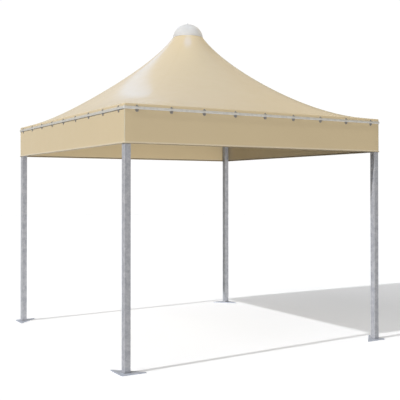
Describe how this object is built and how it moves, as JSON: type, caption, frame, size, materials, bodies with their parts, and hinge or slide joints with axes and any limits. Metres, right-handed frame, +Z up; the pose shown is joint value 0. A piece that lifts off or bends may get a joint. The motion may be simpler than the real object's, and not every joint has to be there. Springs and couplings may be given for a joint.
{
  "type": "garden gazebo",
  "caption": "Open square garden gazebo: steel corner posts on triangular base plates under a coated cloth cover drawn up to a domed central peak, with a straight valance.",
  "frame": {"origin": "on the ground, in the middle of the four posts", "axes": "+Z up; +X to the right and +Y to the back, seen from the front, which is -Y"},
  "size_m": [3.0914, 3.0914, 3.508],
  "materials": {
    "galvanised_steel": "hot-dip galvanised, dull grey with a visible spangle",
    "galvanised_plate": "hot-dip galvanised plate, flame-cut edges",
    "frame_steel": "hot-dip galvanised tube, dull",
    "rail_steel": "bright zinc-plated flat bar, satin",
    "zinc_hardware": "zinc-plated, satin",
    "cover_cloth": "beige coated cloth, satin, fine weave under a smooth coat",
    "opal_plastic": "opal white, softly glossy"
  },
  "bodies": {
    "root": {"front_left_post": "galvanised_steel", "front_right_post": "galvanised_steel", "back_right_post": "galvanised_steel", "back_left_post": "galvanised_steel", "front_left_base_plate": "galvanised_plate", "front_right_base_plate": "galvanised_plate", "back_right_base_plate": "galvanised_plate", "back_left_base_plate": "galvanised_plate", "front_beam": "frame_steel", "right_beam": "frame_steel", "back_beam": "frame_steel", "left_beam": "frame_steel", "front_left_gusset": "galvanised_plate", "front_right_gusset": "galvanised_plate", "back_right_gusset": "galvanised_plate", "back_left_gusset": "galvanised_plate", "front_left_arm": "frame_steel", "front_right_arm": "frame_steel", "back_right_arm": "frame_steel", "back_left_arm": "frame_steel", "hub_plate_lower": "galvanised_plate", "hub_plate_upper": "galvanised_plate", "mast_lower": "frame_steel", "mast_collar": "zinc_hardware", "mast_upper": "frame_steel", "peak_ring": "frame_steel", "front_roof_panel": "cover_cloth", "right_roof_panel": "cover_cloth", "back_roof_panel": "cover_cloth", "left_roof_panel": "cover_cloth", "front_valance": "cover_cloth", "right_valance": "cover_cloth", "back_valance": "cover_cloth", "left_valance": "cover_cloth", "front_rail": "rail_steel", "right_rail": "rail_steel", "back_rail": "rail_steel", "left_rail": "rail_steel", "dome_cap": "opal_plastic", "dome_bolt": "zinc_hardware"}
  },
  "joints": []
}
